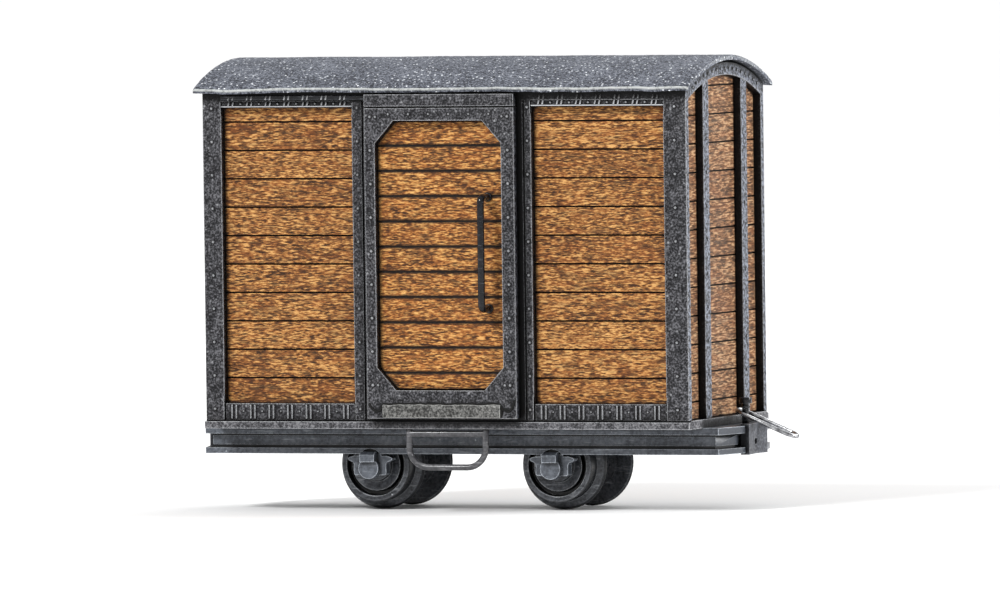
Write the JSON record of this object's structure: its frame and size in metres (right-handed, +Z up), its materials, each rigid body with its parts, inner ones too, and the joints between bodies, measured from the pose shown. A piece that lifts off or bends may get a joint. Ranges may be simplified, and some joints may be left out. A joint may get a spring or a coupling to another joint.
{
  "type": "model box car",
  "caption": "Four-wheeled narrow-gauge model box car with planked walls in riveted frames, sliding side doors with grab handles, a wire step, an arched felt roof and a wire coupling link.",
  "frame": {"origin": "middle of the wagon, midway between the axles and the sides, level with the lowest points of the wheel flanges", "axes": "+X along the track towards the end with the wire link, +Y across the track towards the back side, +Z up"},
  "size_m": [0.0434, 0.0206, 0.0319],
  "materials": {
    "chassis_plastic": "smooth dark grey, faint sheen",
    "frame_grey": "mottled dark grey with riveted texture",
    "wall_wood": "thin oiled veneer planks, fine grain",
    "end_wood": "thin oiled veneer planks, fine grain",
    "door_wood": "thin oiled veneer planks, fine grain",
    "floor_wood": "unfinished thin boards",
    "roof_felt": "blue-grey felt texture with pale specks",
    "wheel_black": "blackened, bright at the flange edge",
    "axle_steel": "turned",
    "dark_fittings": "satin black",
    "plinth_grey": "mottled grey with fine upright ribs",
    "kick_grey": "mottled grey, chipped",
    "step_grey": "satin grey wire",
    "buffer_grey": "worn smooth grey",
    "bright_wire": "bright plated wire",
    "weight_iron": "raw",
    "screw_steel": "plated"
  },
  "bodies": {
    "wagon": {"chassis_frame": "chassis_plastic", "ballast_weight": "weight_iron", "chassis_screws": "screw_steel", "floor_plinth": "plinth_grey", "floor_boards": "floor_wood", "axle_box_front_left": "chassis_plastic", "axle_box_front_right": "chassis_plastic", "axle_box_back_left": "chassis_plastic", "axle_box_back_right": "chassis_plastic", "buffer_left": "buffer_grey", "buffer_right": "buffer_grey", "coupling_pin_left": "dark_fittings", "side_frame_front": "frame_grey", "side_frame_back": "frame_grey", "panel_front_left": "wall_wood", "panel_front_right": "wall_wood", "panel_back_left": "wall_wood", "panel_back_right": "wall_wood", "end_panel_left": "end_wood", "end_panel_right": "end_wood", "end_posts_left": "frame_grey", "end_posts_right": "frame_grey", "end_bow_left": "frame_grey", "end_bow_right": "frame_grey", "roof": "roof_felt", "door_track_front": "dark_fittings", "door_track_back": "dark_fittings", "step_front": "step_grey"},
    "wheelset_left": {"axle_left": "axle_steel", "wheel_left_front": "wheel_black", "wheel_left_back": "wheel_black"},
    "wheelset_right": {"axle_right": "axle_steel", "wheel_right_front": "wheel_black", "wheel_right_back": "wheel_black"},
    "door_front": {"door_frame_front": "frame_grey", "door_header_front": "frame_grey", "door_kick_plate_front": "kick_grey", "door_planks_front": "door_wood", "door_handle_front": "dark_fittings", "door_hooks_front": "dark_fittings"},
    "door_back": {"door_frame_back": "frame_grey", "door_header_back": "frame_grey", "door_kick_plate_back": "kick_grey", "door_planks_back": "door_wood", "door_handle_back": "dark_fittings", "door_hooks_back": "dark_fittings"},
    "pin_right": {"coupling_pin_right": "dark_fittings"},
    "link": {"coupling_link": "bright_wire"}
  },
  "joints": [
    {"name": "left_wheelset_spin", "type": "hinge", "parent": "wagon", "child": "wheelset_left", "pos_m": [-0.0068, 0, 0.00315], "axis": [0, 1, 0], "continuous": true},
    {"name": "right_wheelset_spin", "type": "hinge", "parent": "wagon", "child": "wheelset_right", "pos_m": [0.0068, 0, 0.00315], "axis": [0, 1, 0], "continuous": true},
    {"name": "front_door_slide", "type": "slide", "parent": "wagon", "child": "door_front", "axis": [-1, 0, 0], "range_m": [0, 0.0104]},
    {"name": "back_door_slide", "type": "slide", "parent": "wagon", "child": "door_back", "axis": [1, 0, 0], "range_m": [0, 0.0104]},
    {"name": "link_swing", "type": "hinge", "parent": "wagon", "child": "pin_right", "pos_m": [0.0193, 0, 0.007], "axis": [0, 0, 1], "range_deg": [-12, 12]},
    {"name": "link_lift", "type": "hinge", "parent": "pin_right", "child": "link", "pos_m": [0.01873, 0, 0.00695], "axis": [0, -1, 0], "range_deg": [0, 60]}
  ]
}
